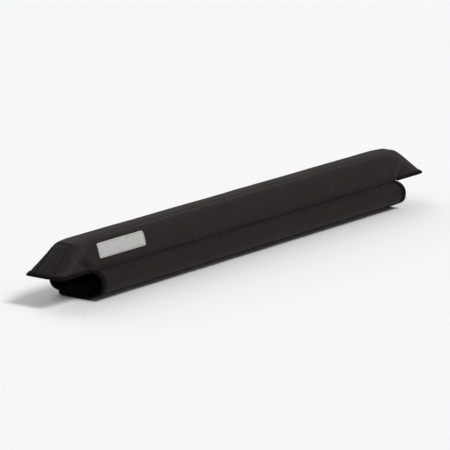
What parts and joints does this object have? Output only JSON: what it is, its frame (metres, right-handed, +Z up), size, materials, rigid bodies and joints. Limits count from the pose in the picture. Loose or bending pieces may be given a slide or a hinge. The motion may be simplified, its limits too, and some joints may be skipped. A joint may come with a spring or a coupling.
{
  "type": "roof rack pad",
  "caption": "Long foam pad in a sewn fabric cover, strapped round an aerodynamic roof bar by two wraps that close with hook and loop underneath.",
  "frame": {"origin": "middle of the footprint, on the surface that the closed wraps rest on", "axes": "+X along the bar towards the right end, +Y towards the rear, +Z up; the leading side faces -Y"},
  "size_m": [0.7694, 0.087, 0.0741],
  "materials": {
    "cover_fabric": "coated woven polyester, near black, slight sheen",
    "base_fabric": "non-slip coated fabric with small raised dots",
    "binding_tape": "ribbed woven edge tape, matte",
    "foam": "closed-cell foam, matte",
    "hook_tape": "fine nylon hooks",
    "loop_tape": "brushed nylon loops",
    "reflective_fabric": "pale reflective fabric, bare"
  },
  "bodies": {
    "root": {"foam_core": "foam", "top_cover": "cover_fabric", "left_end_panel": "cover_fabric", "right_end_panel": "cover_fabric", "base_panel": "base_fabric", "front_wrap": "cover_fabric", "rear_wrap": "cover_fabric", "front_wrap_binding": "binding_tape", "rear_wrap_binding": "binding_tape", "hook_strip": "hook_tape", "loop_strip": "loop_tape", "reflective_patch": "reflective_fabric"}
  },
  "joints": []
}
